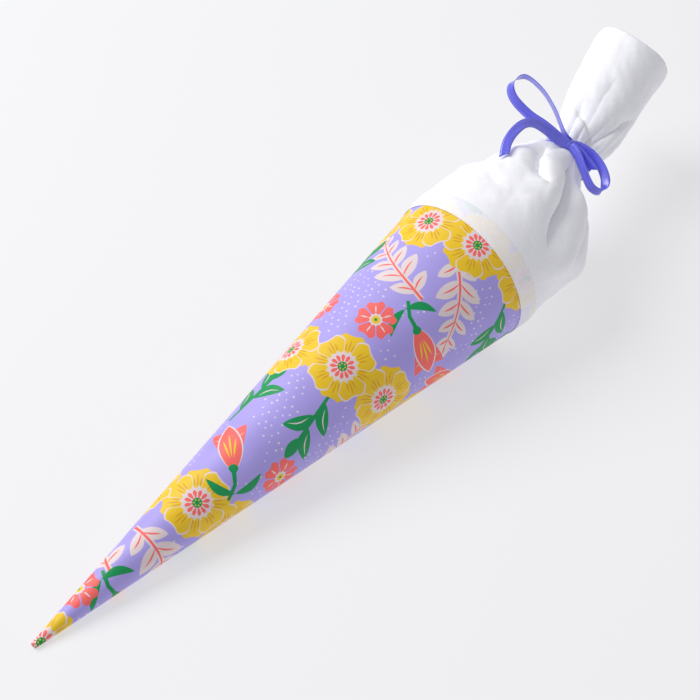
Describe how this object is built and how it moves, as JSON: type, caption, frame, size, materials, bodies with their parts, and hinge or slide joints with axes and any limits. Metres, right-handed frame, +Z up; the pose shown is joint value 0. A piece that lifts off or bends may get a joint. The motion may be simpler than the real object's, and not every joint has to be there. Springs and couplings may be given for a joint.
{
  "type": "school cone",
  "caption": "Tall rolled-card party cone with a printed floral surface, a gathered white paper cuff round its mouth and a satin ribbon bow that ties it shut.",
  "frame": {"origin": "on the floor under the cuff's belly, where the lying cone rests, 55 mm beyond the card's mouth", "axes": "+X along the cone's length from its tip towards the tied cuff, +Z up from the floor"},
  "size_m": [1.1018, 0.2243, 0.2194],
  "materials": {
    "printed_card": "satin coated card, lilac ground with a bold flower print",
    "white_paper": "thin soft white paper, matt and slightly translucent",
    "satin": "violet-blue polyester satin ribbon with a silky sheen"
  },
  "bodies": {
    "root": {"card_cone": "printed_card", "paper_cuff": "white_paper", "satin_ribbon": "satin"}
  },
  "joints": []
}
